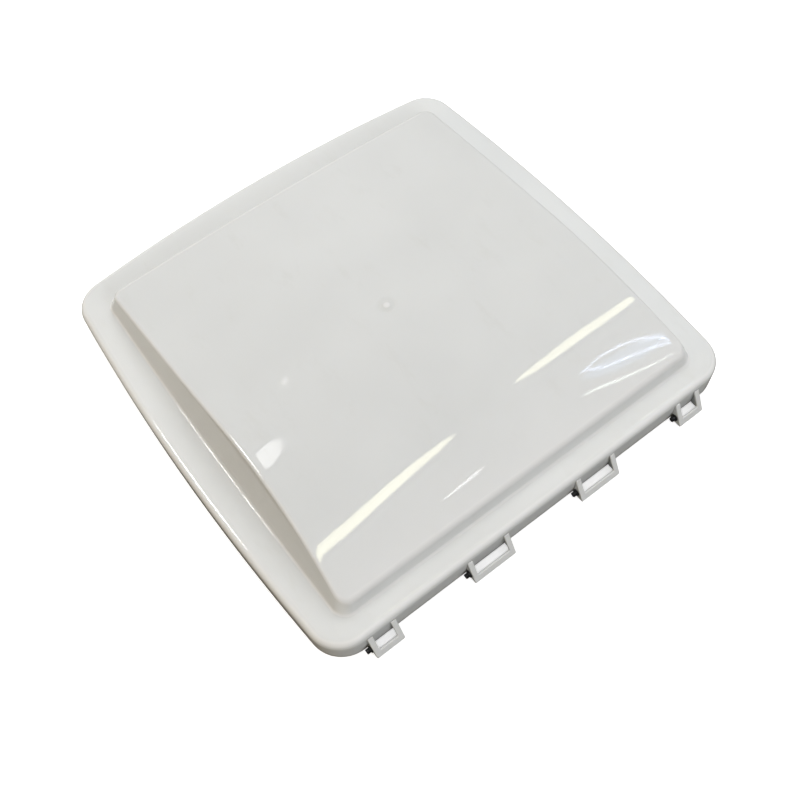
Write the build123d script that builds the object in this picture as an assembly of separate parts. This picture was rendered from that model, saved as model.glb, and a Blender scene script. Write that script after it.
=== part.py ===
from build123d import *
import math
import os

# Lid of a square roof vent, as it comes off the roof: a moulded cover with four hinge loops
# along one edge, the pins that it slides onto and turns on, a seal, and the lift rail with its
# shoe.
#
# Millimetres. +Z is up when the lid is closed, X runs along the hinge edge, -Y is the hinge
# side and +Y the side that lifts. The origin is the centre of the footprint, on the rim plane.

os.makedirs("parts", exist_ok=True)

# Moulded cover: flange and skirt
WALL = 2.5
CORNER_HALF_WIDTH = 194.0
EDGE_DEPTH = 388.0
SIDE_BOW = 9.0
FAR_BOW = 13.0
CORNER_RADIUS = 28.0
FLANGE_TOP = 27.0
LIP_RADIUS = 6.5

# Moulded cover: wedge-shaped dome, heights measured from the top of the flange
DOME_MARGIN_SIDE = 21.5
DOME_MARGIN_HINGE = 19.0
DOME_MARGIN_FAR = 24.0
DOME_SIDE_BOW = 2.3
DOME_FAR_BOW = 3.8
DOME_CORNER_RADIUS = 12.0
DOME_DRAFT = 20.5
DOME_REACH = 42.0
DOME_ROOT = 5.0
RIDGE_RADIUS = 5.0
FOOT_RADIUS = 3.0
STEEPEST_ROOF = 40.0
WEDGE_SLOPE = 6.0
CROWN_START_Y = -10.0
CROWN_START_HEIGHT = 34.0
CROWN_RADIUS = 340.0

# Hinge loops, below the lip on the hinge side
LOOP_REACH = 11.0
LOOP_TOP = 20.0
LOOP_WALL = 2.0
LOOP_BAR = 4.5
LOOP_SILL = 6.0
LOOP_EDGE = 0.6
INNER_LOOP_WIDTH = 39.0
OUTER_LOOP_WIDTH = 25.0
INNER_LOOP_X = 52.7
OUTER_LOOP_X = 150.1
LOOP_SHIFT = -2.6

# Hinge pins, one through the left cheek of each loop
PIN_RADIUS = 2.0
RUNNING_GAP = 0.05
PIN_AXIS_FROM_SKIRT = 3.8
PIN_AXIS_Z = 6.5
COLLAR_RADIUS = 3.0
COLLAR_LENGTH = 1.0
PIN_TAIL = 3.0
PIN_SIDE_GAP = 0.3

# Weather seal under the flange
SEAL_WIDTH = 10.0
SEAL_HEIGHT = 5.0
SEAL_HALF_WIDTH = 186.0
SEAL_HINGE_MARGIN = 7.0
SEAL_FAR_MARGIN = 7.5
SEAL_CORNER_RADIUS = 22.0

# Lift rail: an aluminium channel, open side down, with a screw tongue at each end
RAIL_TOP = 40.0
RAIL_WIDTH = 24.0
RAIL_HEIGHT = 11.0
RAIL_WALL = 2.0
RAIL_SLOT = 10.0
RAIL_LENGTH = 180.0
RAIL_CENTRE_Y = 28.0
TONGUE_LENGTH = 14.0
SCREW_X = 7.0
BOSS_RADIUS = 4.5
RAIL_EDGE = 0.5

# Screws and washers that hold the rail to the bosses
SCREW_RADIUS = 1.5
SCREW_LENGTH = 7.0
SCREW_HEAD_RADIUS = 3.0
SCREW_HEAD_HEIGHT = 2.2
SCREW_RECESS = 1.2
WASHER_RADIUS = 4.0
WASHER_THICKNESS = 0.8
CLEARANCE = 0.3

# Shoe that slides in the rail, with a clevis below
STOP_LENGTH = 8.0
SHOE_LENGTH = 26.0
SHOE_END_GAP = 0.5
SHOE_BASE = 4.0
SHOE_CORNER = 2.0
SHOE_EDGE = 0.4
EAR_THICKNESS = 5.0
EAR_GAP = 8.6
EAR_WIDTH = 14.0
PIVOT_DROP = 7.5

# Swivel eye for the end of a lift arm, with its pin and clip
EYE_PIN_RADIUS = 2.5
EYE_WIDTH = 8.0
EYE_RADIUS = 6.0
EYE_LENGTH = 15.0
SOCKET_RADIUS = 3.1
SOCKET_DEPTH = 8.5
SOCKET_OUTSIDE = 5.5
PIN_HEAD_RADIUS = 4.0
PIN_HEAD_LENGTH = 2.0
PIN_OVERHANG = 3.0
GROOVE_RADIUS = 2.0
GROOVE_WIDTH = 1.0
CLIP_RADIUS = 4.5
CLIP_THICKNESS = 0.8
CLIP_MOUTH = 3.0

# Places worked out from the dimensions above
TOTAL_DEPTH = LOOP_REACH + EDGE_DEPTH + FAR_BOW
HINGE_EDGE_Y = LOOP_REACH - TOTAL_DEPTH / 2
FAR_EDGE_Y = HINGE_EDGE_Y + EDGE_DEPTH
FLANGE_UNDERSIDE = FLANGE_TOP - WALL
PIN_AXIS_Y = HINGE_EDGE_Y - PIN_AXIS_FROM_SKIRT
RAIL_NEAR_Y = RAIL_CENTRE_Y - RAIL_LENGTH / 2
RAIL_FAR_Y = RAIL_CENTRE_Y + RAIL_LENGTH / 2
RAIL_INSIDE_TOP = RAIL_TOP - RAIL_WALL
RAIL_UNDERSIDE = RAIL_TOP - RAIL_HEIGHT
RAIL_INSIDE_FLOOR = RAIL_UNDERSIDE + RAIL_WALL
SCREW_Y = (RAIL_NEAR_Y - TONGUE_LENGTH / 2, RAIL_FAR_Y + TONGUE_LENGTH / 2)
SCREW_PLACES = [(x, y) for y in SCREW_Y for x in (-SCREW_X, SCREW_X)]
SHOE_Y = RAIL_NEAR_Y + STOP_LENGTH + SHOE_END_GAP + SHOE_LENGTH / 2
SHOE_TOP = RAIL_UNDERSIDE - CLEARANCE
EAR_TOP = SHOE_TOP - SHOE_BASE
PIVOT_Z = EAR_TOP - PIVOT_DROP
EAR_OUTSIDE_X = EAR_GAP / 2 + EAR_THICKNESS
PIN_END_X = EAR_OUTSIDE_X + PIN_OVERHANG


def bowed_plan(half_width, hinge_y, far_y, side_bow, far_bow):
    """Square outline with a straight hinge side, three bowed sides and sharp corners."""
    mid_y = (hinge_y + far_y) / 2
    right = ThreePointArc((half_width, hinge_y), (half_width + side_bow, mid_y), (half_width, far_y))
    far = ThreePointArc((half_width, far_y), (0, far_y + far_bow), (-half_width, far_y))
    left = ThreePointArc((-half_width, far_y), (-half_width - side_bow, mid_y), (-half_width, hinge_y))
    hinge = Line((-half_width, hinge_y), (half_width, hinge_y))
    return make_face(right + far + left + hinge)


def flange_plan(inset):
    """Outline of the flange, moved in by the inset."""
    plan = bowed_plan(
        CORNER_HALF_WIDTH - inset,
        HINGE_EDGE_Y + inset,
        FAR_EDGE_Y - inset,
        SIDE_BOW,
        FAR_BOW,
    )
    return fillet(plan.vertices(), CORNER_RADIUS - inset)


def dome_plan(inset):
    """Sharp-cornered outline of the dome where it leaves the flange, moved in by the inset."""
    return bowed_plan(
        CORNER_HALF_WIDTH - DOME_MARGIN_SIDE - inset,
        HINGE_EDGE_Y + DOME_MARGIN_HINGE + inset,
        FAR_EDGE_Y - DOME_MARGIN_FAR - inset,
        DOME_SIDE_BOW,
        DOME_FAR_BOW,
    )


def dome_walls(inset):
    """Solid with the dome's drafted walls: it starts below the flange and its corners are round."""
    root_spread = DOME_ROOT * math.tan(math.radians(DOME_DRAFT))
    root = Pos(0, 0, FLANGE_TOP - DOME_ROOT) * dome_plan(inset - root_spread)
    walls = extrude(root, DOME_ROOT + DOME_REACH, taper=DOME_DRAFT)
    level = walls.faces().filter_by(Axis.Z).edges()
    corners = [e for e in walls.edges() if not any(e.is_same(g) for g in level)]
    return fillet(corners, DOME_CORNER_RADIUS - inset)


def roof_profile(drop):
    """Side view of everything below the dome's roof: a straight wedge that turns into the crown."""
    start = Vector(CROWN_START_Y, FLANGE_TOP + CROWN_START_HEIGHT - drop)
    slope = math.radians(WEDGE_SLOPE)
    far_run = FAR_EDGE_Y - CROWN_START_Y
    far_end = Vector(FAR_EDGE_Y, start.Y - far_run * math.tan(slope))
    centre = start - Vector(math.sin(slope), math.cos(slope)) * CROWN_RADIUS
    hinge_run = centre.X - HINGE_EDGE_Y
    hinge_end = Vector(HINGE_EDGE_Y, centre.Y + math.sqrt(CROWN_RADIUS ** 2 - hinge_run ** 2))
    half_run = (start.X - centre.X - hinge_run) / 2
    middle = centre + Vector(half_run, math.sqrt(CROWN_RADIUS ** 2 - half_run ** 2))
    below = -1.0
    wedge = Line(far_end, start)
    crown = ThreePointArc(start, middle, hinge_end)
    sides = Polyline(hinge_end, (HINGE_EDGE_Y, below), (FAR_EDGE_Y, below), far_end)
    return Plane.YZ * make_face(wedge + crown + sides)


def dome_block(inset, drop, ridge_radius):
    """Solid dome: drafted walls cut off by the roof profile, with the ridge rounded."""
    block = dome_walls(inset) & extrude(roof_profile(drop), CORNER_HALF_WIDTH, both=True)
    ridge = block.edges().filter_by(lambda e: e.center().Z > FLANGE_TOP + RIDGE_RADIUS)
    roof_faces = block.faces().filter_by(lambda f: f.normal_at().Z > math.cos(math.radians(STEEPEST_ROOF)))
    ridge = [e for e in ridge if sum(any(e.is_same(g) for g in f.edges()) for f in roof_faces) == 1]
    return fillet(ridge, ridge_radius)


def flange_block(inset, top, lip_radius):
    """Solid under the flange top, with its upper edge rounded into the lip."""
    block = extrude(flange_plan(inset), top)
    lip = block.faces().sort_by(Axis.Z)[-1].edges()
    return fillet(lip, lip_radius)


def upright_cylinder(x, y, bottom, top, radius):
    """Cylinder along Z between two heights."""
    return Pos(x, y, bottom) * extrude(Circle(radius), top - bottom)


def cross_cylinder(y, z, start_x, end_x, radius):
    """Cylinder along X between two places."""
    return Pos(start_x, y, z) * (Rot(0, 90, 0) * extrude(Circle(radius), end_x - start_x))


def block_between(x_range, y_range, z_range):
    """Box between two limits along each axis."""
    size = (x_range[1] - x_range[0], y_range[1] - y_range[0], z_range[1] - z_range[0])
    centre = (sum(x_range) / 2, sum(y_range) / 2, sum(z_range) / 2)
    return Pos(*centre) * Box(*size)


def cover_shell():
    """One moulding: flange, downturned skirt, wedge dome and the four screw bosses inside it."""
    dome = dome_block(0, 0, RIDGE_RADIUS)
    hollow = flange_block(WALL, FLANGE_UNDERSIDE, LIP_RADIUS - WALL)
    hollow += dome_block(WALL, WALL, RIDGE_RADIUS - WALL)
    outside = flange_block(0, FLANGE_TOP, LIP_RADIUS) + dome
    flange_face = outside.faces().filter_by(Axis.Z).sort_by(Axis.Z)[-1]
    dome_foot = flange_face.inner_wires()[0].edges()
    shell = fillet(dome_foot, FOOT_RADIUS) - hollow
    for x, y in SCREW_PLACES:
        boss = upright_cylinder(x, y, RAIL_TOP, FLANGE_TOP + DOME_REACH, BOSS_RADIUS)
        shell += boss & dome
    for x, y in SCREW_PLACES:
        screw_tip = RAIL_INSIDE_TOP - WASHER_THICKNESS + SCREW_LENGTH
        shell -= upright_cylinder(x, y, RAIL_TOP, screw_tip + CLEARANCE, SCREW_RADIUS + RUNNING_GAP)
    return shell


def hinge_loop(centre_x, width):
    """Loop that slants out from under the lip: two cheeks, two front bars and a sill."""
    front_y = HINGE_EDGE_Y - LOOP_REACH
    lip_depth = 1.0
    chin = 1.5
    profile = Polyline(
        (HINGE_EDGE_Y, 0),
        (HINGE_EDGE_Y, LOOP_TOP),
        (HINGE_EDGE_Y - lip_depth, LOOP_TOP),
        (front_y, chin),
        (front_y, 0),
        close=True,
    )
    side_view = Plane.YZ * make_face(profile)
    tilt = math.atan2(LOOP_REACH - lip_depth, LOOP_TOP - chin)
    hollow_shift = LOOP_WALL / math.cos(tilt)
    loop = extrude(side_view, width / 2, both=True)
    loop -= Pos(0, hollow_shift, 0) * extrude(side_view, width / 2 - LOOP_WALL, both=True)
    window_edge = width / 2 - LOOP_BAR
    loop -= block_between(
        (-window_edge, window_edge),
        (front_y - chin, HINGE_EDGE_Y),
        (LOOP_SILL, LOOP_TOP + chin),
    )
    loop = fillet(loop.edges(), LOOP_EDGE)
    loop -= cross_cylinder(PIN_AXIS_Y, PIN_AXIS_Z, -width, 0, PIN_RADIUS + RUNNING_GAP)
    return Pos(centre_x, 0, 0) * loop


def hinge_pin(centre_x, width):
    """Shouldered pin through a loop's left cheek; its tail points away from the loop."""
    cheek_x = centre_x - width / 2
    inner_end = cheek_x + LOOP_WALL + RUNNING_GAP
    collar_start = cheek_x - PIN_SIDE_GAP
    collar_end = collar_start - COLLAR_LENGTH
    shaft = cross_cylinder(PIN_AXIS_Y, PIN_AXIS_Z, collar_end - PIN_TAIL, inner_end, PIN_RADIUS)
    return shaft + cross_cylinder(PIN_AXIS_Y, PIN_AXIS_Z, collar_end, collar_start, COLLAR_RADIUS)


def weather_seal():
    """Foam ring stuck to the underside of the flange."""
    hinge_y = HINGE_EDGE_Y + SEAL_HINGE_MARGIN
    far_y = FAR_EDGE_Y - SEAL_FAR_MARGIN
    width = 2 * SEAL_HALF_WIDTH
    depth = far_y - hinge_y
    border = 2 * SEAL_WIDTH
    ring = RectangleRounded(width, depth, SEAL_CORNER_RADIUS)
    ring -= RectangleRounded(width - border, depth - border, SEAL_CORNER_RADIUS - SEAL_WIDTH)
    bottom = FLANGE_UNDERSIDE - SEAL_HEIGHT
    return Pos(0, (hinge_y + far_y) / 2, bottom) * extrude(ring, SEAL_HEIGHT)


def lift_rail():
    """Aluminium channel with its slot down and a screw tongue at each end."""
    half = RAIL_WIDTH / 2
    inside = half - RAIL_WALL
    slot = RAIL_SLOT / 2
    span = (RAIL_NEAR_Y, RAIL_FAR_Y)
    tongue_span = (RAIL_NEAR_Y - TONGUE_LENGTH, RAIL_FAR_Y + TONGUE_LENGTH)
    rail = block_between((-half, half), span, (RAIL_UNDERSIDE, RAIL_TOP))
    rail -= block_between((-inside, inside), span, (RAIL_INSIDE_FLOOR, RAIL_INSIDE_TOP))
    rail -= block_between((-slot, slot), span, (RAIL_UNDERSIDE, RAIL_INSIDE_FLOOR))
    rail += block_between((-half, half), tongue_span, (RAIL_INSIDE_TOP, RAIL_TOP))
    beyond_channel = (RAIL_LENGTH + TONGUE_LENGTH) / 2
    corners = rail.edges().filter_by(Axis.Z)
    corners = [e for e in corners if abs(e.center().Y - RAIL_CENTRE_Y) > beyond_channel]
    rail = fillet(corners, SCREW_HEAD_RADIUS)
    long_edges = rail.edges().filter_by(Axis.Y)
    rail = fillet([e for e in long_edges if abs(abs(e.center().X) - inside) > RAIL_EDGE], RAIL_EDGE)
    for x, y in SCREW_PLACES:
        rail -= upright_cylinder(x, y, RAIL_INSIDE_TOP, RAIL_TOP, SCREW_RADIUS + CLEARANCE)
    return rail


def rail_screw(x, y):
    """Pan-head screw with a hexagon recess, pointing up into a boss."""
    seat = RAIL_INSIDE_TOP - WASHER_THICKNESS
    head_bottom = seat - SCREW_HEAD_HEIGHT
    head = upright_cylinder(x, y, head_bottom, seat, SCREW_HEAD_RADIUS)
    head = fillet(head.edges().sort_by(Axis.Z)[0], SCREW_HEAD_HEIGHT / 3)
    recess = Pos(x, y, head_bottom) * extrude(RegularPolygon(SCREW_RADIUS, 6), SCREW_RECESS)
    shaft = upright_cylinder(x, y, seat, seat + SCREW_LENGTH, SCREW_RADIUS)
    return head - recess + shaft


def rail_washer(x, y):
    """Flat washer between a screw head and the rail."""
    bottom = RAIL_INSIDE_TOP - WASHER_THICKNESS
    disc = upright_cylinder(x, y, bottom, RAIL_INSIDE_TOP, WASHER_RADIUS)
    return disc - upright_cylinder(x, y, bottom, RAIL_INSIDE_TOP, SCREW_RADIUS + RUNNING_GAP)


def rail_stop(end_y, inward):
    """Nylon plug that closes one end of the channel."""
    inside = RAIL_WIDTH / 2 - RAIL_WALL
    slot = RAIL_SLOT / 2
    span = sorted((end_y, end_y + inward * STOP_LENGTH))
    plug = block_between((-inside, inside), span, (RAIL_INSIDE_FLOOR, RAIL_INSIDE_TOP))
    plug += block_between((-slot, slot), span, (RAIL_UNDERSIDE, RAIL_INSIDE_FLOOR))
    return plug


def slide_shoe():
    """Nylon shoe: a head inside the rail, a neck through its slot and a clevis below."""
    head_half = RAIL_WIDTH / 2 - RAIL_WALL - CLEARANCE
    neck_half = RAIL_SLOT / 2 - CLEARANCE
    span = (SHOE_Y - SHOE_LENGTH / 2, SHOE_Y + SHOE_LENGTH / 2)
    ear_span = (SHOE_Y - EAR_WIDTH / 2, SHOE_Y + EAR_WIDTH / 2)
    head_z = (RAIL_INSIDE_FLOOR + CLEARANCE, RAIL_INSIDE_TOP - CLEARANCE)
    shoe = block_between((-head_half, head_half), span, head_z)
    shoe = fillet(shoe.edges().filter_by(Axis.Z), SHOE_CORNER)
    shoe += block_between((-neck_half, neck_half), span, (SHOE_TOP, head_z[0]))
    shoe += block_between((-EAR_OUTSIDE_X, EAR_OUTSIDE_X), span, (EAR_TOP, SHOE_TOP))
    for side in (-1, 1):
        faces_x = sorted((side * EAR_GAP / 2, side * EAR_OUTSIDE_X))
        shoe += block_between(faces_x, ear_span, (PIVOT_Z, EAR_TOP))
        shoe += cross_cylinder(SHOE_Y, PIVOT_Z, *faces_x, EAR_WIDTH / 2)
    shoe = fillet(shoe.edges().filter_by(Axis.X), SHOE_EDGE)
    bore = cross_cylinder(SHOE_Y, PIVOT_Z, -EAR_OUTSIDE_X, EAR_OUTSIDE_X, EYE_PIN_RADIUS + RUNNING_GAP)
    return shoe - bore


def swivel_eye():
    """Eye on the clevis pin, hanging down, with a blind socket for the end of a lift arm."""
    half = EYE_WIDTH / 2
    tip = PIVOT_Z - EYE_LENGTH
    shoulder = PIVOT_Z - EAR_WIDTH / 2 - CLEARANCE
    neck_y = (SHOE_Y - SOCKET_OUTSIDE, SHOE_Y + SOCKET_OUTSIDE)
    eye = cross_cylinder(SHOE_Y, PIVOT_Z, -half, half, EYE_RADIUS)
    eye += block_between((-half, half), neck_y, (shoulder, PIVOT_Z))
    eye += upright_cylinder(0, SHOE_Y, tip, shoulder, SOCKET_OUTSIDE)
    eye -= cross_cylinder(SHOE_Y, PIVOT_Z, -half, half, EYE_PIN_RADIUS + RUNNING_GAP)
    eye -= upright_cylinder(0, SHOE_Y, tip, tip + SOCKET_DEPTH, SOCKET_RADIUS)
    return eye


def swivel_pin():
    """Clevis pin with a head at one end and a groove for the clip at the other."""
    pin = cross_cylinder(SHOE_Y, PIVOT_Z, -EAR_OUTSIDE_X, PIN_END_X, EYE_PIN_RADIUS)
    head_start = -EAR_OUTSIDE_X - PIN_HEAD_LENGTH
    pin += cross_cylinder(SHOE_Y, PIVOT_Z, head_start, -EAR_OUTSIDE_X, PIN_HEAD_RADIUS)
    groove_start = EAR_OUTSIDE_X + CLEARANCE
    groove_end = groove_start + GROOVE_WIDTH
    groove = cross_cylinder(SHOE_Y, PIVOT_Z, groove_start, groove_end, EYE_PIN_RADIUS)
    groove -= cross_cylinder(SHOE_Y, PIVOT_Z, groove_start, groove_end, GROOVE_RADIUS)
    return pin - groove


def swivel_clip():
    """Open spring clip in the groove of the clevis pin, its mouth downward."""
    start = EAR_OUTSIDE_X + CLEARANCE + (GROOVE_WIDTH - CLIP_THICKNESS) / 2
    end = start + CLIP_THICKNESS
    clip = cross_cylinder(SHOE_Y, PIVOT_Z, start, end, CLIP_RADIUS)
    clip -= cross_cylinder(SHOE_Y, PIVOT_Z, start, end, GROOVE_RADIUS + RUNNING_GAP)
    mouth_y = (SHOE_Y - CLIP_MOUTH / 2, SHOE_Y + CLIP_MOUTH / 2)
    mouth = block_between((start, end), mouth_y, (PIVOT_Z - CLIP_RADIUS, PIVOT_Z))
    return clip - mouth


def group(make_one):
    """The same small part at every screw place, kept as separate solids."""
    return Compound(children=[make_one(x, y) for x, y in SCREW_PLACES])


LOOPS = {
    "outer_left": (LOOP_SHIFT - OUTER_LOOP_X, OUTER_LOOP_WIDTH),
    "inner_left": (LOOP_SHIFT - INNER_LOOP_X, INNER_LOOP_WIDTH),
    "inner_right": (LOOP_SHIFT + INNER_LOOP_X, INNER_LOOP_WIDTH),
    "outer_right": (LOOP_SHIFT + OUTER_LOOP_X, OUTER_LOOP_WIDTH),
}

nodes = {"cover_shell": cover_shell()}
for place, (loop_x, loop_width) in LOOPS.items():
    nodes[f"hinge_loop_{place}"] = hinge_loop(loop_x, loop_width)
    nodes[f"hinge_pin_{place}"] = hinge_pin(loop_x, loop_width)
nodes["weather_seal"] = weather_seal()
nodes["lift_rail"] = lift_rail()
nodes["rail_screws"] = group(rail_screw)
nodes["rail_washers"] = group(rail_washer)
nodes["rail_stop_hinge_end"] = rail_stop(RAIL_NEAR_Y, 1)
nodes["rail_stop_far_end"] = rail_stop(RAIL_FAR_Y, -1)
nodes["slide_shoe"] = slide_shoe()
nodes["swivel_eye"] = swivel_eye()
nodes["swivel_pin"] = swivel_pin()
nodes["swivel_clip"] = swivel_clip()

for name, shape in nodes.items():
    export_step(shape, f"parts/{name}.step")
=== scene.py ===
import math

import bmesh
import bpy
import numpy as np
from mathutils import Matrix, Vector


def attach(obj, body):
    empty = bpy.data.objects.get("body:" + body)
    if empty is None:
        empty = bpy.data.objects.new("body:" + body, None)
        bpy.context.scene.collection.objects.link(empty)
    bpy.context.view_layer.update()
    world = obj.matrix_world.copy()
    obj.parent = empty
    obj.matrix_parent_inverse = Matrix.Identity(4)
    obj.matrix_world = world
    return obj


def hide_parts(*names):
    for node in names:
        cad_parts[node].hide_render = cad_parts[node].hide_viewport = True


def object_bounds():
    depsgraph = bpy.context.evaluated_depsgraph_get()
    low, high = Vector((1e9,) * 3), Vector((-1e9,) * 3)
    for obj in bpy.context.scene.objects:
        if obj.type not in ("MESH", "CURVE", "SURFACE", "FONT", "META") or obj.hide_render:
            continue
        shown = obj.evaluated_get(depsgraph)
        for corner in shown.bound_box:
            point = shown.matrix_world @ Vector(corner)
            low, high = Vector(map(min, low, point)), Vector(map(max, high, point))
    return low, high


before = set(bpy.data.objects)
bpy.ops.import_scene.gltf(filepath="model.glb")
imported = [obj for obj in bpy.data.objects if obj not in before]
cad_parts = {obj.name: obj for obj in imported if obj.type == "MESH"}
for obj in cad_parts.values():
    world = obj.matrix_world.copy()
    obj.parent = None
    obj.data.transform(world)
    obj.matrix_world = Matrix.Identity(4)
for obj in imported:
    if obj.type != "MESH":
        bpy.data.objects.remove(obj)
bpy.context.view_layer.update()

# Looks of the roof vent lid. The shared frame, the floor and the lights are in metres, and all
# other dimensions in millimetres. The main ones repeat those of the CAD model, because this
# script can't read it. The finer ones are this script's own: the roundings of the dome's corners
# and ridge, the edge and flare of the bosses, the gate mark, and the seal's crown, edge and joint.

MM = 0.001

# Plan of the cover: flange outline and the dome's outline where it leaves the flange
CORNER_HALF_WIDTH = 194.0
HINGE_EDGE_Y = -195.0
FAR_EDGE_Y = 193.0
SIDE_BOW = 9.0
FAR_BOW = 13.0
CORNER_RADIUS = 28.0
DOME_MARGIN_SIDE = 21.5
DOME_MARGIN_HINGE = 19.0
DOME_MARGIN_FAR = 24.0
DOME_SIDE_BOW = 2.3
DOME_FAR_BOW = 3.8
DOME_CORNER_RADIUS = 11.0

# Bow of a side that looks straight, so that it too is an arc of a circle
STRAIGHT = 0.001

# Rounds of correction in which a corner's or the ridge's place is worked out
FITTING_ROUNDS = 12

# Section of the cover
WALL = 2.5
FLANGE_TOP = 27.0
LIP_RADIUS = 6.5
FOOT_RADIUS = 3.0
RIDGE_RADIUS_SIDE = 4.0
RIDGE_RADIUS_HINGE = 9.0
RIDGE_RADIUS_FAR = 8.0
DOME_DRAFT = math.radians(20.5)

# Roof of the dome
WEDGE_SLOPE = math.radians(6.0)
CROWN_START_Y = -10.0
CROWN_START_HEIGHT = 34.0
CROWN_START_Z = FLANGE_TOP + CROWN_START_HEIGHT
CROWN_RADIUS = 340.0

# Fineness of the meshes
SIDE_STEPS = 56
CORNER_STEPS = 18
SKIRT_RINGS = 5
LIP_RINGS = 12
FLANGE_RINGS = 5
FOOT_RINGS = 6
WALL_RINGS = 7
RIDGE_RINGS = 10
ROOF_RINGS = 34
GATE_RINGS = 16
RIM_RINGS = 6
TURNED_STEPS = 40
SEAL_STEPS = 5

# Angle between two faces above which the edge between them stays sharp
SHARP_ANGLE = math.radians(50)

# Bosses inside the dome that take the rail's screws
BOSS_X = 7.0
BOSS_Y = (-69.0, 125.0)
BOSS_BOTTOM = 40.0
BOSS_RADIUS = 4.5
BOSS_HOLE_RADIUS = 1.55
BOSS_HOLE_DEPTH = 5.0
BOSS_EDGE = 0.4
BOSS_FLARE = 2.5

# Middle point of the boss's edge, and points of its flare as (out, down), in shares of each
BOSS_EDGE_BEND = 0.3
BOSS_FLARE_POINTS = [(0.0, 1.0), (0.15, 0.45), (0.5, 0.12)]

# Mark that the moulding gate leaves on top: a low button in a shallow round hollow
BUTTON_RADIUS = 3.2
BUTTON_HEIGHT = 0.7
HOLLOW_RADIUS = 9.0
HOLLOW_DEPTH = 0.4

# Share of the button's radius that carries the painted highlight in full
BUTTON_HIGHLIGHT_SHARE = 0.6

# Height over the flange from which the dome's painted shade, slightly darker than the flange, is in
# full
DOME_SHADE_RISE = 4.0

# Foam seal under the flange
SEAL_HALF_WIDTH = 186.0
SEAL_MARGIN_HINGE = 7.0
SEAL_MARGIN_FAR = 7.5
SEAL_CORNER_RADIUS = 22.0
SEAL_WIDTH = 10.0
SEAL_HEIGHT = 5.0
SEAL_CROWN = 0.5
SEAL_EDGE_RADIUS = 1.4
SEAL_JOINT_GAP = 0.35

# Camera: where its line of sight meets the flange, and how it stands to it
CAMERA_AIM = (-33.6, -59.9, FLANGE_TOP)
CAMERA_DISTANCE = 742.7
CAMERA_AZIMUTH = math.radians(32.80)
CAMERA_ELEVATION = math.radians(61.46)
CAMERA_ROLL = math.radians(4.86)
CAMERA_LENS = 42.33
CAMERA_CLIP_START = 10.0

# Floor, and the light that it adds where the camera sees it
FLOOR_SIZE = 4.0
FLOOR_SEGMENTS = 4
FLOOR_GLOW = 0.6

# How far each piece of a bright line runs past its ends, as a share of its length
LINE_OVERLAP = 0.2

# Strength of the surroundings
SKY_AT_HORIZON = 0.10
SKY_OVERHEAD = 0.54

# Height of the lamps and the window that show as reflections, and the point all lights face
LAMP_HEIGHT = 1.5
LIGHT_AIM = (0, 0, 0.05)

# Colours of the lights
WHITE = (1.0, 1.0, 1.0)
AMBER = (1.0, 0.76, 0.40)
CREAM = (1.0, 0.98, 0.68)
SKY_BLUE = (0.66, 0.76, 1.0)
DEEP_BLUE = (0.35, 0.6, 1.0)
PALE_GREEN = (0.9, 1.0, 0.9)

# Plan of the window's bright lines in metres, at the height of the lamps
WINDOW_ARCH = [
    (0.785, -0.45), (0.835, -0.425), (0.90, -0.456), (0.963, -0.514), (1.03, -0.63), (1.07, -0.72)
]
WINDOW_SASH = [(0.785, -0.45), (0.84, -0.535), (0.91, -0.585), (0.99, -0.65), (1.07, -0.735)]
WINDOW_SILL = [(0.78, -0.645), (0.87, -0.715), (0.99, -0.80), (1.08, -0.87)]


def srgb(red, green, blue):
    """Linear colour with full alpha, from sRGB values between 0 and 1."""
    linear = []
    for channel in (red, green, blue):
        linear.append(channel / 12.92 if channel <= 0.04045 else ((channel + 0.055) / 1.055) ** 2.4)
    return (*linear, 1.0)


# ---------------------------------------------------------------- outlines


def side_circle(start, end, bow):
    """Centre and radius of the arc from start to end that bulges outward by the bow."""
    half_chord = (end - start) / 2
    length = np.linalg.norm(half_chord)
    outward = np.array([half_chord[1], -half_chord[0]]) / length
    radius = (length ** 2 + bow ** 2) / (2 * bow)
    return (start + end) / 2 + outward * (bow - radius), radius


def corner_centre(before, after, radius, corner):
    """Centre of the corner circle that touches both neighbouring side circles from inside."""
    point = corner * (1 - radius / np.linalg.norm(corner))
    for _ in range(FITTING_ROUNDS):
        rows = []
        misses = []
        for centre, side_radius in (before, after):
            reach = point - centre
            distance = np.linalg.norm(reach)
            rows.append(reach / distance)
            misses.append(distance - (side_radius - radius))
        point = point - np.linalg.solve(np.array(rows), np.array(misses))
    return point


def heading(vector):
    """Direction of a plan vector as an angle."""
    return math.atan2(vector[1], vector[0])


def turn_between(start, end):
    """Angle from start to end, the short way round."""
    return (end - start + math.pi) % (2 * math.pi) - math.pi


def bowed_outline(half_width, hinge_y, far_y, side_bow, far_bow, corner_radius):
    """Points and outward normals round a square with bowed sides and rounded corners."""
    corners = [
        np.array([half_width, hinge_y]),
        np.array([half_width, far_y]),
        np.array([-half_width, far_y]),
        np.array([-half_width, hinge_y]),
    ]
    bows = (side_bow, far_bow, side_bow, STRAIGHT)
    circles = [side_circle(corners[i], corners[(i + 1) % 4], bows[i]) for i in range(4)]
    turns = [
        corner_centre(circles[i - 1], circles[i], corner_radius, corners[i]) for i in range(4)
    ]
    points = []
    normals = []
    for i, (centre, radius) in enumerate(circles):
        after = (i + 1) % 4
        start = heading(turns[i] - centre)
        sweep = turn_between(start, heading(turns[after] - centre))
        corner_sweep = turn_between(start + sweep, heading(turns[after] - circles[after][0]))
        for step in range(SIDE_STEPS):
            angle = start + sweep * step / SIDE_STEPS
            normals.append((math.cos(angle), math.sin(angle)))
            points.append(centre + radius * np.array(normals[-1]))
        for step in range(CORNER_STEPS):
            angle = start + sweep + corner_sweep * step / CORNER_STEPS
            normals.append((math.cos(angle), math.sin(angle)))
            points.append(turns[after] + corner_radius * np.array(normals[-1]))
    return np.array(points), np.array(normals)


# ---------------------------------------------------------------- cover


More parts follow.
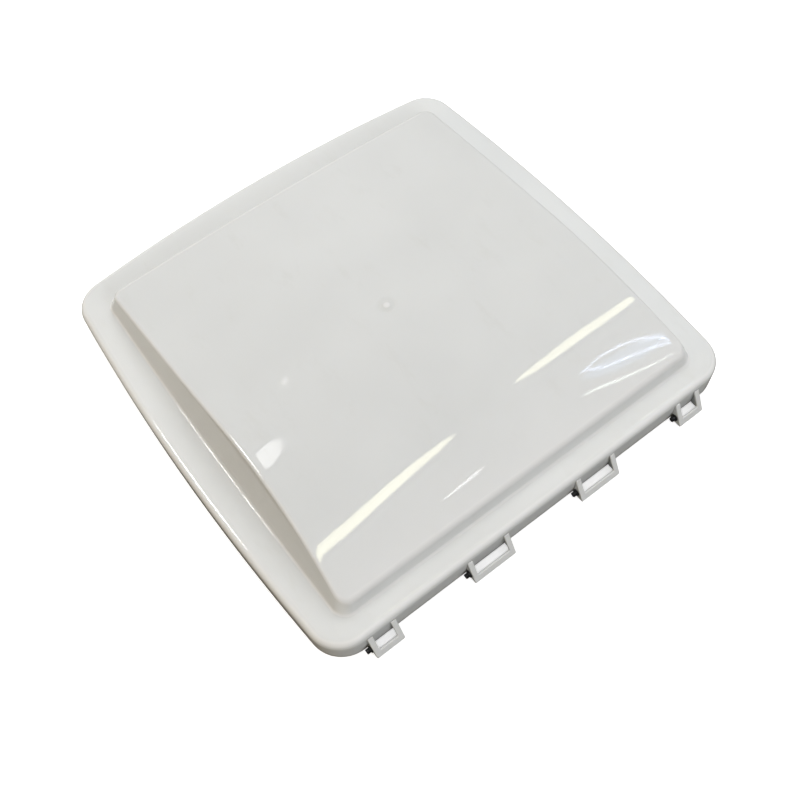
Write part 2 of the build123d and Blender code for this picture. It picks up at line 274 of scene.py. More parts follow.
def roof_height(y):
    """Height of the dome's roof: a straight wedge that turns into a round crown."""
    wedge = CROWN_START_Z - (y - CROWN_START_Y) * math.tan(WEDGE_SLOPE)
    centre_y = CROWN_START_Y - math.sin(WEDGE_SLOPE) * CROWN_RADIUS
    centre_z = CROWN_START_Z - math.cos(WEDGE_SLOPE) * CROWN_RADIUS
    crown = centre_z + np.sqrt(np.maximum(CROWN_RADIUS ** 2 - (y - centre_y) ** 2, 0))
    return np.where(y > CROWN_START_Y, wedge, crown)


def roof_slope(y):
    """Rise of the roof per unit of Y."""
    step = 0.01
    return (roof_height(y + step) - roof_height(y - step)) / (2 * step)


def ring_at(outline, inset, z):
    """Ring of points: the outline moved in by the inset, at a height. Both may vary round it."""
    points, normals = outline
    plan = points - normals * np.reshape(inset, (-1, 1))
    return np.column_stack([plan, np.broadcast_to(z, len(points))])


def ridge_radii(normals):
    """Radius of the dome's upper edge all round: tighter on the two sides than at either end."""
    hinge_share = np.maximum(-normals[:, 1], 0)
    far_share = np.maximum(normals[:, 1], 0)
    extra = hinge_share * (RIDGE_RADIUS_HINGE - RIDGE_RADIUS_SIDE)
    return RIDGE_RADIUS_SIDE + extra + far_share * (RIDGE_RADIUS_FAR - RIDGE_RADIUS_SIDE)


def dome_outline(inset):
    """Outline of the dome, moved in by the inset; its corners keep their radius."""
    return bowed_outline(
        CORNER_HALF_WIDTH - DOME_MARGIN_SIDE - inset,
        HINGE_EDGE_Y + DOME_MARGIN_HINGE + inset,
        FAR_EDGE_Y - DOME_MARGIN_FAR - inset,
        DOME_SIDE_BOW,
        DOME_FAR_BOW,
        DOME_CORNER_RADIUS,
    )


def ridge_centres(outline, lean, draft, radius):
    """Centres of the ridge's rounding, where it touches both wall and roof, and the roof's tilt."""
    points, normals = outline
    height = np.full(len(points), CROWN_START_Z)
    for _ in range(FITTING_ROUNDS):
        inset = (height - FLANGE_TOP) * math.tan(DOME_DRAFT)
        plan = points - lean * inset[:, None] - normals * (radius / np.cos(draft))[:, None]
        tilt = np.arctan(-roof_slope(plan[:, 1]) * normals[:, 1])
        touch_y = plan[:, 1] + normals[:, 1] * radius * np.sin(tilt)
        height = roof_height(touch_y) - radius * np.cos(tilt)
    return plan, height, tilt


def gate_mark(distance):
    """Height of the gate's mark above the roof at a distance from its middle."""
    if distance < BUTTON_RADIUS:
        return BUTTON_HEIGHT * (1 - (distance / BUTTON_RADIUS) ** 2)
    share = (distance - BUTTON_RADIUS) / (HOLLOW_RADIUS - BUTTON_RADIUS)
    return -HOLLOW_DEPTH * math.sin(math.pi * share) ** 2


def between(start, end, count):
    """Evenly spaced rings from a start to an end, without those two."""
    return [start * (1 - share) + end * share for share in np.linspace(0, 1, count)[1:-1]]


def edge_rings(flange):
    """Rings up the skirt and over the lip."""
    lip_z = FLANGE_TOP - LIP_RADIUS
    rings = [ring_at(flange, 0, z) for z in np.linspace(WALL / 2, lip_z, SKIRT_RINGS)]
    for angle in np.linspace(0, math.pi / 2, LIP_RINGS)[1:]:
        inset = LIP_RADIUS * (1 - math.cos(angle))
        rings.append(ring_at(flange, inset, lip_z + LIP_RADIUS * math.sin(angle)))
    return rings


def foot_rings(dome, wall_angle):
    """Rings in the rounding where the flange turns up into the dome's wall."""
    reach = FOOT_RADIUS * np.tan(wall_angle / 2)
    rings = []
    for share in np.linspace(0, 1, FOOT_RINGS):
        angle = wall_angle * share
        inset = FOOT_RADIUS * np.sin(angle) - reach
        rings.append(ring_at(dome, inset, FLANGE_TOP + FOOT_RADIUS * (1 - np.cos(angle))))
    return rings


def ridge_rings(dome, lean, draft):
    """Rings over the dome's upper edge, from its wall to its roof."""
    normals = dome[1]
    radius = ridge_radii(normals)
    centre, centre_z, tilt = ridge_centres(dome, lean, draft, radius)
    return [
        ring_at((centre, normals), -radius * np.sin(angle), centre_z + radius * np.cos(angle))
        for angle in np.linspace(math.pi / 2 - draft, tilt, RIDGE_RINGS)
    ]


def roof_rings(ridge):
    """Rings over the roof, from the ridge's plan inwards, with the gate mark in the middle."""
    turns = heading(ridge[0]) + np.linspace(0, 2 * math.pi, len(ridge), endpoint=False)
    circle = np.column_stack([np.cos(turns), np.sin(turns)])
    rings = []
    for share in np.linspace(0, 1, ROOF_RINGS)[1:]:
        plan = ridge * (1 - share) + circle * HOLLOW_RADIUS * share
        rings.append(np.column_stack([plan, roof_height(plan[:, 1])]))
    for share in np.linspace(1, 0, GATE_RINGS)[1:-1]:
        plan = circle * HOLLOW_RADIUS * share
        mark = gate_mark(HOLLOW_RADIUS * share)
        rings.append(np.column_stack([plan, roof_height(plan[:, 1]) + mark]))
    return rings


def cover_rings():
    """Rings of the cover's outer face, from the bottom of the skirt to the middle of the roof."""
    flange = bowed_outline(
        CORNER_HALF_WIDTH, HINGE_EDGE_Y, FAR_EDGE_Y, SIDE_BOW, FAR_BOW, CORNER_RADIUS
    )
    dome = dome_outline(0)
    # How far, and which way, each point of the dome's outline moves for an inset of 1
    lean = dome[0] - dome_outline(1)[0]
    draft = np.arctan(math.tan(DOME_DRAFT) * np.sum(lean * dome[1], axis=1))
    edge = edge_rings(flange)
    foot = foot_rings(dome, math.pi / 2 - draft)
    ridge = ridge_rings(dome, lean, draft)
    flat = between(edge[-1], foot[0], FLANGE_RINGS)
    wall = between(foot[-1], ridge[0], WALL_RINGS)
    roof = roof_rings(ridge[-1][:, :2])
    return np.array([*edge, *flat, *foot, *wall, *ridge, *roof])


def ring_normals(rings):
    """Outward unit normals of a grid of rings."""
    along = np.roll(rings, -1, axis=1) - np.roll(rings, 1, axis=1)
    up = np.gradient(rings, axis=0)
    normals = np.cross(along, up)
    return normals / np.linalg.norm(normals, axis=2, keepdims=True)


def rim_rings(start, end):
    """Half-round edge that joins the lowest rings of the two faces, from start to end."""
    middle = (start + end) / 2
    reach = (start - end) / 2
    down = np.array([0, 0, -WALL / 2])
    rings = []
    for angle in np.linspace(0, math.pi, RIM_RINGS + 2)[1:-1]:
        rings.append(middle + reach * math.cos(angle) + down * math.sin(angle))
    return rings


def add_ring_surface(mesh, rings):
    """Adds quads between neighbouring rings and returns the vertices, one row per ring."""
    rows = [[mesh.verts.new(point) for point in ring * MM] for ring in rings]
    count = len(rows[0])
    for low, high in zip(rows, rows[1:]):
        for i in range(count):
            after = (i + 1) % count
            mesh.faces.new((low[i], low[after], high[after], high[i]))
    return rows


def close_with_point(mesh, row, point, flip):
    """Closes a ring of vertices with a fan of triangles to one point."""
    tip = mesh.verts.new(Vector(point) * MM)
    for i, vertex in enumerate(row):
        after = row[(i + 1) % len(row)]
        mesh.faces.new((after, vertex, tip) if flip else (vertex, after, tip))


def add_turned(mesh, profile, centre):
    """Adds a turned shape about a vertical axis, from (radius, z) points, closed at both ends."""
    angles = [2 * math.pi * i / TURNED_STEPS for i in range(TURNED_STEPS)]
    rings = [
        np.array([(centre[0] + r * math.cos(a), centre[1] + r * math.sin(a), z) for a in angles])
        for r, z in profile
    ]
    rows = add_ring_surface(mesh, rings)
    close_with_point(mesh, rows[0], (*centre, profile[0][1]), True)
    close_with_point(mesh, rows[-1], (*centre, profile[-1][1]), False)


def boss_profile(y):
    """Section of a screw boss: blind hole, rounded end and a flare where it meets the roof."""
    wall_middle = float(roof_height(np.array(y))) - WALL / 2
    inner_face = wall_middle - WALL / 2
    bend = BOSS_EDGE * BOSS_EDGE_BEND
    flare = [
        (BOSS_RADIUS + BOSS_FLARE * out, inner_face - BOSS_FLARE * down)
        for out, down in BOSS_FLARE_POINTS
    ]
    return [
        (BOSS_HOLE_RADIUS, BOSS_BOTTOM + BOSS_HOLE_DEPTH),
        (BOSS_HOLE_RADIUS, BOSS_BOTTOM + BOSS_EDGE),
        (BOSS_HOLE_RADIUS + BOSS_EDGE, BOSS_BOTTOM),
        (BOSS_RADIUS - BOSS_EDGE, BOSS_BOTTOM),
        (BOSS_RADIUS - bend, BOSS_BOTTOM + bend),
        (BOSS_RADIUS, BOSS_BOTTOM + BOSS_EDGE),
        *flare,
        (BOSS_RADIUS + BOSS_FLARE, wall_middle),
    ]


def finished_piece(name, mesh):
    """Makes an object of a bmesh, with smooth faces and sharp edges kept."""
    bmesh.ops.recalc_face_normals(mesh, faces=mesh.faces)
    data = bpy.data.meshes.new(name)
    mesh.to_mesh(data)
    mesh.free()
    data.shade_smooth()
    data.set_sharp_from_angle(angle=SHARP_ANGLE)
    piece = bpy.data.objects.new(name, data)
    bpy.context.scene.collection.objects.link(piece)
    return piece


def make_cover():
    """The whole moulding as one closed shell, with its bosses."""
    outer = cover_rings()
    inner = outer - ring_normals(outer) * WALL
    # Both faces end level with each other, at the rim
    inner[0, :, 2] = outer[0, :, 2]
    rings = [*inner[::-1], *rim_rings(inner[0], outer[0]), *outer]
    mesh = bmesh.new()
    rows = add_ring_surface(mesh, rings)
    roof_middle = float(roof_height(np.array(0.0))) + gate_mark(0.0)
    close_with_point(mesh, rows[0], (0, 0, roof_middle - WALL), True)
    close_with_point(mesh, rows[-1], (0, 0, roof_middle), False)
    for y in BOSS_Y:
        for x in (-BOSS_X, BOSS_X):
            add_turned(mesh, boss_profile(y), (x, y))
    return finished_piece("cover", mesh)


# ---------------------------------------------------------------- foam seal


def seal_section():
    """Section of the foam strip as (inset, z) pairs: flat on the flange, crowned underneath."""
    top = FLANGE_TOP - WALL
    bottom = top - SEAL_HEIGHT
    points = [(0.0, top)]
    for i in range(SEAL_STEPS + 1):
        angle = math.pi / 2 * i / SEAL_STEPS
        points.append((
            SEAL_EDGE_RADIUS * (1 - math.cos(angle)),
            bottom + SEAL_CROWN + SEAL_EDGE_RADIUS * (1 - math.sin(angle)),
        ))
    underside = []
    for i in range(1, SEAL_STEPS):
        share = i / SEAL_STEPS
        inset = SEAL_EDGE_RADIUS + (SEAL_WIDTH - 2 * SEAL_EDGE_RADIUS) * share
        underside.append((inset, bottom + SEAL_CROWN * (2 * share - 1) ** 2))
    mirrored = [(SEAL_WIDTH - inset, z) for inset, z in reversed(points)]
    return points + underside + mirrored


def make_seal():
    """Foam strip laid round the underside of the flange, its two ends butted on the far side."""
    points, normals = bowed_outline(
        SEAL_HALF_WIDTH,
        HINGE_EDGE_Y + SEAL_MARGIN_HINGE,
        FAR_EDGE_Y - SEAL_MARGIN_FAR,
        STRAIGHT,
        STRAIGHT,
        SEAL_CORNER_RADIUS,
    )
    # The strip starts and ends half way along the far side
    joint = SIDE_STEPS + CORNER_STEPS + SIDE_STEPS // 2
    points = np.roll(points, -joint, axis=0)
    normals = np.roll(normals, -joint, axis=0)
    points = np.vstack([points, points[:1] + np.array([[SEAL_JOINT_GAP, 0]])])
    normals = np.vstack([normals, normals[:1]])
    mesh = bmesh.new()
    rows = []
    for point, normal in zip(points, normals):
        row = []
        for inset, z in seal_section():
            plan = point - normal * inset
            row.append(mesh.verts.new(Vector((plan[0], plan[1], z)) * MM))
        rows.append(row)
    for near, far in zip(rows, rows[1:]):
        for i in range(len(near)):
            after = (i + 1) % len(near)
            mesh.faces.new((near[i], near[after], far[after], far[i]))
    mesh.faces.new(rows[0])
    mesh.faces.new(list(reversed(rows[-1])))
    return finished_piece("foam_seal", mesh)


# ---------------------------------------------------------------- materials


class Surface:
    """A node material with short helpers for its procedural detail."""

    def __init__(self, name):
        self.material = bpy.data.materials.new(name)
        self.material.use_nodes = True
        self.tree = self.material.node_tree
        self.shader = self.tree.nodes["Principled BSDF"]
        self.place = self.node("ShaderNodeTexCoord").outputs["Object"]

    def node(self, kind, **settings):
        """Adds a node with its properties set."""
        made = self.tree.nodes.new(kind)
        for name, value in settings.items():
            setattr(made, name, value)
        return made

    def link(self, source, target):
        """Joins an output to an input."""
        self.tree.links.new(source, target)

    def set(self, **values):
        """Sets constant values on the shader's own sockets."""
        for name, value in values.items():
            self.shader.inputs[name.replace("_", " ")].default_value = value

    def noise(self, scale, detail=3.0, roughness=0.5, stretch=(1, 1, 1)):
        """Noise in object space; a stretch below 1 draws it out along that axis."""
        mapping = self.node("ShaderNodeMapping")
        mapping.inputs["Scale"].default_value = stretch
        self.link(self.place, mapping.inputs["Vector"])
        texture = self.node("ShaderNodeTexNoise")
        texture.inputs["Scale"].default_value = scale
        texture.inputs["Detail"].default_value = detail
        texture.inputs["Roughness"].default_value = roughness
        self.link(mapping.outputs["Vector"], texture.inputs["Vector"])
        return texture.outputs["Fac"]

    def cells(self, scale):
        """Distance to the nearest cell centre, for foam."""
        texture = self.node("ShaderNodeTexVoronoi")
        texture.inputs["Scale"].default_value = scale
        self.link(self.place, texture.inputs["Vector"])
        return texture.outputs["Distance"]

    def spread(self, source, low, high, from_low=0.3, from_high=0.7):
        """Maps a value from one range onto another."""
        made = self.node("ShaderNodeMapRange")
        made.inputs["From Min"].default_value = from_low
        made.inputs["From Max"].default_value = from_high
        made.inputs["To Min"].default_value = low
        made.inputs["To Max"].default_value = high
        self.link(source, made.inputs["Value"])
        return made.outputs["Result"]

    def ramp(self, source, stops):
        """Maps a value onto colours, from (place, colour) stops."""
        made = self.node("ShaderNodeValToRGB")
        made.color_ramp.elements[0].position = stops[0][0]
        made.color_ramp.elements[0].color = stops[0][1]
        made.color_ramp.elements[1].position = stops[-1][0]
        made.color_ramp.elements[1].color = stops[-1][1]
        for place, colour in stops[1:-1]:
            element = made.color_ramp.elements.new(place)
            element.color = colour
        self.link(source, made.inputs["Fac"])
        return made.outputs["Color"]

    def mix(self, share, first, second, blend="MIX"):
        """Mixes two colours, each an output or a fixed colour."""
        made = self.node("ShaderNodeMix", data_type="RGBA", blend_type=blend)
        sockets = [s for s in made.inputs if s.enabled]
        for socket, value in zip(sockets, (share, first, second)):
            if isinstance(value, bpy.types.NodeSocket):
                self.link(value, socket)
            else:
                socket.default_value = value
        return next(s for s in made.outputs if s.enabled)

    def edges(self, low=0.5, high=0.6):
        """Share from 0 to 1 that picks out worn outer edges."""
        pointiness = self.node("ShaderNodeNewGeometry").outputs["Pointiness"]
        return self.spread(pointiness, 0.0, 1.0, low, high)

    def sloped_highlight_share(self):
        """Share from 0 to 1 that picks out surfaces between level and upright, as on a lip, where a
        painted highlight goes.
        """
        slope = self.node("ShaderNodeSeparateXYZ")
        self.link(self.node("ShaderNodeTexCoord").outputs["Normal"], slope.inputs["Vector"])
        black = (0.0, 0.0, 0.0, 1.0)
        white = (1.0, 1.0, 1.0, 1.0)
        stops = [(0.4, black), (0.6, white), (0.9, white), (0.98, black)]
        return self.ramp(slope.outputs["Z"], stops)

    def distance_from_axis(self):
        """Distance in metres from the lid's upright middle line."""
        flat = self.node("ShaderNodeVectorMath", operation="MULTIPLY")
        flat.inputs[1].default_value = (1.0, 1.0, 0.0)
        self.link(self.place, flat.inputs[0])
        length = self.node("ShaderNodeVectorMath", operation="LENGTH")
        self.link(flat.outputs["Vector"], length.inputs[0])
        return length.outputs["Value"]

    def bump(self, *layers):
        """Stacks bump layers of (height output, strength, distance in metres)."""
        normal = None
        for height, strength, distance in layers:
            made = self.node("ShaderNodeBump")
            made.inputs["Strength"].default_value = strength
            made.inputs["Distance"].default_value = distance
            self.link(height, made.inputs["Height"])
            if normal is not None:
                self.link(normal, made.inputs["Normal"])
            normal = made.outputs["Normal"]
        self.link(normal, self.shader.inputs["Normal"])


def gate_painted_light(surface, colour):
    """The gate's mark in colour: a painted highlight on the button, and painted shade that makes
    the hollow a little darker.
    """
    reach = surface.distance_from_axis()
    # Painted highlight on the button and painted shade in the hollow round it
    hollow = surface.spread(reach, 1.0, 0.0, BUTTON_RADIUS * MM, HOLLOW_RADIUS * MM)
    highlight_reach = BUTTON_RADIUS * BUTTON_HIGHLIGHT_SHARE * MM
    button = surface.spread(reach, 1.0, 0.0, highlight_reach, BUTTON_RADIUS * MM)
    shaded = surface.mix(hollow, colour, srgb(0.975, 0.975, 0.97), "MULTIPLY")
    return surface.mix(button, shaded, srgb(0.865, 0.865, 0.86))


def white_plastic():
    """Glossy, slightly translucent white moulding with faint flow marks, scuffs, a painted
    highlight on its lips, painted shade on the dome, and a painted highlight and shade at the gate
    mark.
    """
    surface = Surface("white_moulding")
    cloud = surface.noise(9.0, detail=2.0)
    base = surface.ramp(cloud, [
        (0.3, srgb(0.845, 0.85, 0.845)),
        (0.7, srgb(0.865, 0.87, 0.865)),
    ])
    scuff = surface.noise(60.0, detail=6.0, roughness=0.65, stretch=(1, 0.35, 1))
    scuffed = surface.spread(scuff, 0.0, 0.25, from_low=0.58, from_high=0.75)
    colour = surface.mix(scuffed, base, srgb(0.81, 0.81, 0.79))
    # Lighter colour on sloping lips and roundings is a painted highlight
    wear_and_sheen = surface.mix(surface.sloped_highlight_share(), colour, srgb(0.90, 0.90, 0.895))
    # The dome is painted slightly darker than the flange: painted shade
    height = surface.node("ShaderNodeSeparateXYZ")
    surface.link(surface.place, height.inputs["Vector"])
    dome_foot = FLANGE_TOP * MM
    shade_full_above = (FLANGE_TOP + DOME_SHADE_RISE) * MM
    dome = surface.spread(height.outputs["Z"], 0.0, 1.0, dome_foot, shade_full_above)
    dome_shaded = surface.mix(dome, wear_and_sheen, srgb(0.965, 0.965, 0.965), "MULTIPLY")
    surface.link(gate_painted_light(surface, dome_shaded), surface.shader.inputs["Base Color"])
    polish = surface.noise(35.0, detail=5.0)
    surface.link(surface.spread(polish, 0.02, 0.045), surface.shader.inputs["Roughness"])
    surface.set(
        IOR=1.5,
        Subsurface_Weight=0.25,
        Subsurface_Radius=(1.0, 0.95, 0.85),
        Subsurface_Scale=0.004,
    )
    flow = surface.noise(14.0, detail=1.0)
    grain = surface.noise(2600.0, detail=2.0)
    surface.bump((flow, 0.4, 0.0006), (grain, 0.03, 0.00006))
    return surface.material


def dull_steel():
    """Turned steel with rings round it and a trace of rust, on the hinge and swivel pins."""
    surface = Surface("pin_steel")
    turned = surface.noise(900.0, detail=2.0, stretch=(1, 0.05, 0.05))
    stain = surface.noise(220.0, detail=5.0, roughness=0.7)
    steel = surface.ramp(turned, [
        (0.3, srgb(0.20, 0.20, 0.21)),
        (0.7, srgb(0.32, 0.32, 0.33)),
    ])
    rust = surface.spread(stain, 0.0, 0.5, from_low=0.6, from_high=0.8)
    colour = surface.mix(rust, steel, srgb(0.30, 0.22, 0.17))
    surface.link(colour, surface.shader.inputs["Base Color"])
    surface.link(surface.spread(stain, 0.32, 0.5), surface.shader.inputs["Roughness"])
    surface.set(Metallic=1.0)
    surface.bump((turned, 0.25, 0.00005))
    return surface.material


def seal_foam():
    """Closed-cell foam: black, matt and pitted."""
    surface = Surface("seal_foam")
    cell = surface.cells(1500.0)
    patch = surface.noise(70.0, detail=4.0)
    tone = surface.ramp(patch, [
        (0.3, srgb(0.13, 0.13, 0.13)),
        (0.7, srgb(0.20, 0.20, 0.195)),
    ])
    pits = surface.spread(cell, 0.0, 0.5, from_low=0.1, from_high=0.6)
    colour = surface.mix(pits, tone, srgb(0.27, 0.27, 0.265))
    surface.link(colour, surface.shader.inputs["Base Color"])
    surface.link(surface.spread(patch, 0.8, 0.95), surface.shader.inputs["Roughness"])
    surface.set(Specular_IOR_Level=0.25, Sheen_Weight=0.2, Sheen_Roughness=0.5)
    surface.bump((patch, 0.2, 0.0004), (cell, 0.6, 0.0003))
    return surface.material


def drawn_aluminium():
    """Mill-finish aluminium with fine lines along the rail and brighter worn edges."""
    surface = Surface("rail_aluminium")
    lines = surface.noise(1800.0, detail=3.0, stretch=(1, 0.01, 1))
    haze = surface.noise(45.0, detail=4.0)
    metal = surface.ramp(lines, [
        (0.3, srgb(0.72, 0.725, 0.73)),
        (0.7, srgb(0.84, 0.845, 0.85)),
    ])
    dulled = surface.mix(surface.spread(haze, 0.0, 0.3), metal, srgb(0.62, 0.62, 0.61))
    wear_and_sheen = surface.mix(surface.edges(), dulled, srgb(0.90, 0.90, 0.905))
    surface.link(wear_and_sheen, surface.shader.inputs["Base Color"])
    surface.link(surface.spread(haze, 0.28, 0.42), surface.shader.inputs["Roughness"])
    surface.set(Metallic=1.0, Anisotropic=0.5)
    surface.bump((lines, 0.2, 0.00005))
    return surface.material


def zinc_plate():
    """Bright zinc plate with a faint mottle, on the screws, washers and clip."""
    surface = Surface("screw_steel")
    mottle = surface.noise(500.0, detail=4.0)
    metal = surface.ramp(mottle, [
        (0.3, srgb(0.66, 0.67, 0.68)),
        (0.7, srgb(0.80, 0.80, 0.81)),
    ])
    wear_and_sheen = surface.mix(surface.edges(), metal, srgb(0.88, 0.88, 0.88))
    surface.link(wear_and_sheen, surface.shader.inputs["Base Color"])
    surface.link(surface.spread(mottle, 0.22, 0.36), surface.shader.inputs["Roughness"])
    surface.set(Metallic=1.0)
    surface.bump((mottle, 0.15, 0.00004))
    return surface.material


def black_nylon():
    """Satin black nylon with a fine grain and grey rubbed edges, on the shoe and the stops."""
    surface = Surface("black_nylon")
    grain = surface.noise(1400.0, detail=2.0)
    patch = surface.noise(90.0, detail=3.0)
    tone = surface.ramp(patch, [
        (0.3, srgb(0.10, 0.10, 0.105)),
        (0.7, srgb(0.15, 0.15, 0.155)),
    ])
    wear_and_sheen = surface.mix(surface.edges(0.5, 0.62), tone, srgb(0.30, 0.30, 0.30))
    surface.link(wear_and_sheen, surface.shader.inputs["Base Color"])
    surface.link(surface.spread(patch, 0.42, 0.58), surface.shader.inputs["Roughness"])
    surface.bump((grain, 0.25, 0.00008))
    return surface.material


def cast_zinc():
    """Satin die-cast zinc with a sandy skin, for the swivel eye."""
    surface = Surface("eye_zinc")
    skin = surface.noise(700.0, detail=3.0)
    patch = surface.noise(120.0, detail=4.0)
    metal = surface.ramp(patch, [
        (0.3, srgb(0.56, 0.57, 0.58)),
        (0.7, srgb(0.70, 0.71, 0.72)),
    ])
    wear_and_sheen = surface.mix(surface.edges(), metal, srgb(0.82, 0.82, 0.83))
    surface.link(wear_and_sheen, surface.shader.inputs["Base Color"])
    surface.link(surface.spread(skin, 0.38, 0.52), surface.shader.inputs["Roughness"])
    surface.set(Metallic=1.0)
    surface.bump((skin, 0.3, 0.0001))
    return surface.material


def pale_floor():
    """Plain pale floor with the slightest variation, darker to the lid than to the camera."""
    surface = Surface("floor")
    cloud = surface.noise(2.0, detail=2.0)
    colour = surface.ramp(cloud, [
        (0.3, srgb(0.96, 0.96, 0.96)),
        (0.7, srgb(0.97, 0.97, 0.97)),
    ])
    seen = surface.node("ShaderNodeLightPath").outputs["Is Camera Ray"]
    tone = surface.mix(seen, srgb(0.43, 0.42, 0.40), colour)
    surface.link(tone, surface.shader.inputs["Base Color"])
    glow = surface.spread(seen, 0.0, FLOOR_GLOW, 0.0, 1.0)
    surface.link(glow, surface.shader.inputs["Emission Strength"])
    surface.set(Roughness=0.9, Specular_IOR_Level=0.1, Emission_Color=(1.0, 1.0, 1.0, 1.0))
    return surface.material


# ---------------------------------------------------------------- stage


def area_light(name, start, end, width, radiance, colour):
    """Flat oval light whose long middle line runs from start to end, facing the lid."""
    start = Vector(start)
    end = Vector(end)
    place = (start + end) / 2
    along = (end - start).normalized()
    back = place - Vector(LIGHT_AIM)
    back = (back - along * back.dot(along)).normalized()
    data = bpy.data.lights.new(name, "AREA")
    data.shape = "ELLIPSE"
    data.size = (end - start).length
    data.size_y = width
    area = math.pi / 4 * data.size * width
    data.energy = radiance * math.pi * area
    data.color = colour
    light = bpy.data.objects.new(name, data)
    bpy.context.scene.collection.objects.link(light)
    turn = Matrix((along, back.cross(along), back)).transposed().to_4x4()
    light.matrix_world = Matrix.Translation(place) @ turn
    return light


def soft_light(name, start, end, width, radiance, colour=WHITE):
    """Area light that brightens surfaces but doesn't show as a reflection."""
    light = area_light(name, start, end, width, radiance, colour)
    light.visible_glossy = False


def reflected_light(name, start, end, width, radiance, colour=WHITE):
    """Area light between two plan points at lamp height that only shows as a reflection."""
    high_start = (*start, LAMP_HEIGHT)
    high_end = (*end, LAMP_HEIGHT)
    light = area_light(name, high_start, high_end, width, radiance, colour)
    light.visible_diffuse = False


def reflected_line(name, plan, width, radiance, colour):
    """Thin bright line through plan points at lamp height that only shows as a reflection."""
    points = [Vector(point) for point in plan]
    for i, (start, end) in enumerate(zip(points, points[1:])):
        spill = (end - start) * LINE_OVERLAP
        reflected_light(f"{name}_{i}", start - spill, end + spill, width, radiance, colour)


def make_camera():
    """Camera at the viewing angle, held by its aim, distance and roll."""
    level = math.cos(CAMERA_ELEVATION)
    sight = Vector((
        math.sin(CAMERA_AZIMUTH) * level,
        math.cos(CAMERA_AZIMUTH) * level,
        -math.sin(CAMERA_ELEVATION),
    ))
    right = sight.cross(Vector((0, 0, 1))).normalized()
    upright = right.cross(sight)
    up = upright * math.cos(CAMERA_ROLL) + right * math.sin(CAMERA_ROLL)
    side = sight.cross(up)
    data = bpy.data.cameras.new("camera")
    data.lens = CAMERA_LENS
    data.clip_start = CAMERA_CLIP_START * MM
    camera = bpy.data.objects.new("camera", data)
    bpy.context.scene.collection.objects.link(camera)
    place = Vector(CAMERA_AIM) * MM - sight * CAMERA_DISTANCE * MM
    turn = Matrix((side, up, -sight)).transposed().to_4x4()
    camera.matrix_world = Matrix.Translation(place) @ turn
    bpy.context.scene.camera = camera


def make_floor():
    """Large plain floor that the skirt stands on."""
    mesh = bmesh.new()
    bmesh.ops.create_grid(
        mesh, x_segments=FLOOR_SEGMENTS, y_segments=FLOOR_SEGMENTS, size=FLOOR_SIZE
    )
    floor = finished_piece("floor", mesh)
    floor.location.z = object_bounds()[0][2]
    floor.data.materials.append(pale_floor())


def make_sky():
    """Surroundings that light the lid less towards the horizon and look white to the camera."""
    world = bpy.data.worlds.new("studio")
    world.use_nodes = True
    tree = world.node_tree
    direction = tree.nodes.new("ShaderNodeTexCoord").outputs["Generated"]
    parts = tree.nodes.new("ShaderNodeSeparateXYZ")
    tree.links.new(direction, parts.inputs["Vector"])
    strength = tree.nodes.new("ShaderNodeMapRange")
    strength.inputs["To Min"].default_value = SKY_AT_HORIZON
    strength.inputs["To Max"].default_value = SKY_OVERHEAD
    tree.links.new(parts.outputs["Z"], strength.inputs["Value"])
    seen = tree.nodes.new("ShaderNodeLightPath").outputs["Is Camera Ray"]
    brightest = tree.nodes.new("ShaderNodeMath")
    brightest.operation = "MAXIMUM"
    tree.links.new(strength.outputs["Result"], brightest.inputs[0])
    tree.links.new(seen, brightest.inputs[1])
    tree.links.new(brightest.outputs["Value"], tree.nodes["Background"].inputs["Strength"])
    tree.nodes["Background"].inputs["Color"].default_value = (1.0, 1.0, 1.0, 1.0)
    bpy.context.scene.world = world


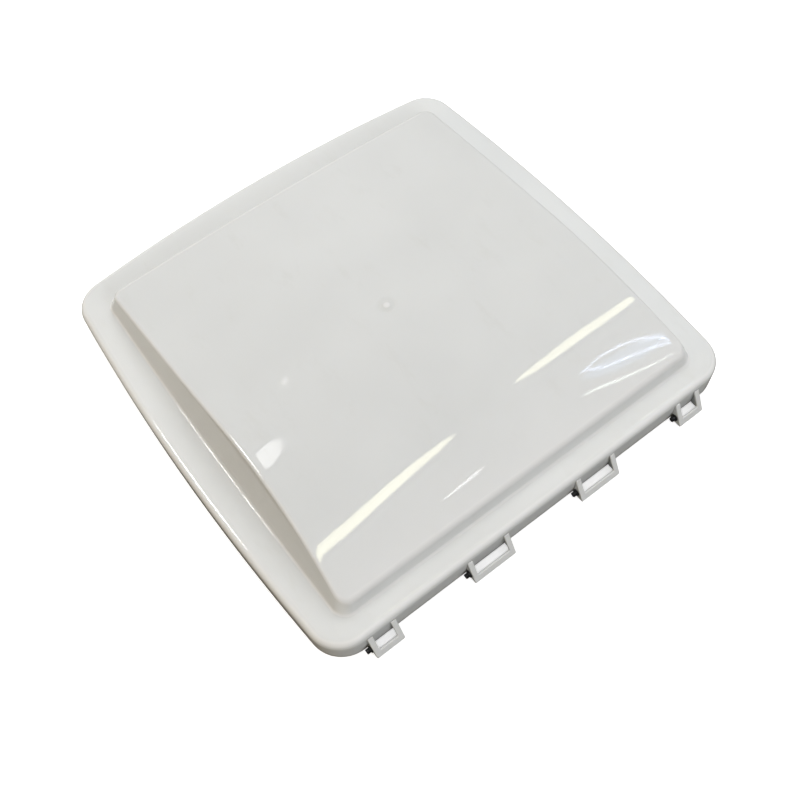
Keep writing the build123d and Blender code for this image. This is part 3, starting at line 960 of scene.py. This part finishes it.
def make_lights():
    """Soft light from above and from all sides, and what shows as a reflection in the gloss."""
    soft_light("overhead", (-1.0, 1.0, 2.2), (1.4, 1.0, 2.2), 1.8, 2.15)
    soft_light("side", (1.7, 0.3, 2.2), (1.7, 1.5, 2.2), 1.0, 6.0)
    soft_light("fill", (-0.5, -1.9, 1.1), (0.8, -1.9, 1.1), 0.9, 6.0)
    soft_light("back", (-0.7, 2.2, 0.35), (0.7, 2.2, 0.35), 0.6, 8.0)
    soft_light("warm_fill", (-1.9, -0.4, 0.6), (-1.9, 0.6, 0.6), 0.6, 4.5, AMBER)
    reflected_light("tube_left", (-0.20, -0.45), (0.40, -0.24), 0.085, 8.1, CREAM)
    reflected_light("tube_right", (0.60, -0.175), (1.08, -0.155), 0.075, 7.2, CREAM)
    reflected_light("tube_side", (-1.2, 0.58), (-1.2, 1.20), 0.45, 22.0)
    reflected_light("lamp", (0.01, 0.47), (0.055, 0.69), 0.075, 5.5)
    reflected_light("far_lamp", (0.226, 1.259), (0.234, 1.267), 0.009, 50.0)
    reflected_light("slit", (0.32, -0.654), (0.44, -0.634), 0.010, 18.0)
    reflected_light("pane", (0.78, -0.49), (1.08, -0.68), 0.13, 2.0, DEEP_BLUE)
    reflected_line("arch", WINDOW_ARCH, 0.009, 13.0, SKY_BLUE)
    reflected_line("sash", WINDOW_SASH, 0.009, 13.0, SKY_BLUE)
    reflected_line("sill", WINDOW_SILL, 0.010, 12.0, PALE_GREEN)


# ---------------------------------------------------------------- build

cover = make_cover()
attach(cover, "lid")
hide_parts("cover_shell")

seal = make_seal()
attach(seal, "lid")
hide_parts("weather_seal")

# Finish of each material slot
FINISHES = {
    "white_moulding": white_plastic(),
    "pin_steel": dull_steel(),
    "seal_foam": seal_foam(),
    "rail_aluminium": drawn_aluminium(),
    "screw_steel": zinc_plate(),
    "black_nylon": black_nylon(),
    "eye_zinc": cast_zinc(),
}

# Finish of each CAD node, by how its name starts
NODE_FINISHES = {
    "hinge_loop": "white_moulding",
    "hinge_pin": "pin_steel",
    "lift_rail": "rail_aluminium",
    "rail_screws": "screw_steel",
    "rail_washers": "screw_steel",
    "rail_stop": "black_nylon",
    "slide_shoe": "black_nylon",
    "swivel_eye": "eye_zinc",
    "swivel_pin": "pin_steel",
    "swivel_clip": "screw_steel",
}

cover.data.materials.append(FINISHES["white_moulding"])
seal.data.materials.append(FINISHES["seal_foam"])
for name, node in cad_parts.items():
    for start, finish in NODE_FINISHES.items():
        if name.startswith(start):
            for material_slot in node.material_slots:
                material_slot.material = FINISHES[finish]

make_floor()
make_sky()
make_lights()
make_camera()
bpy.context.scene.view_settings.view_transform = "Standard"
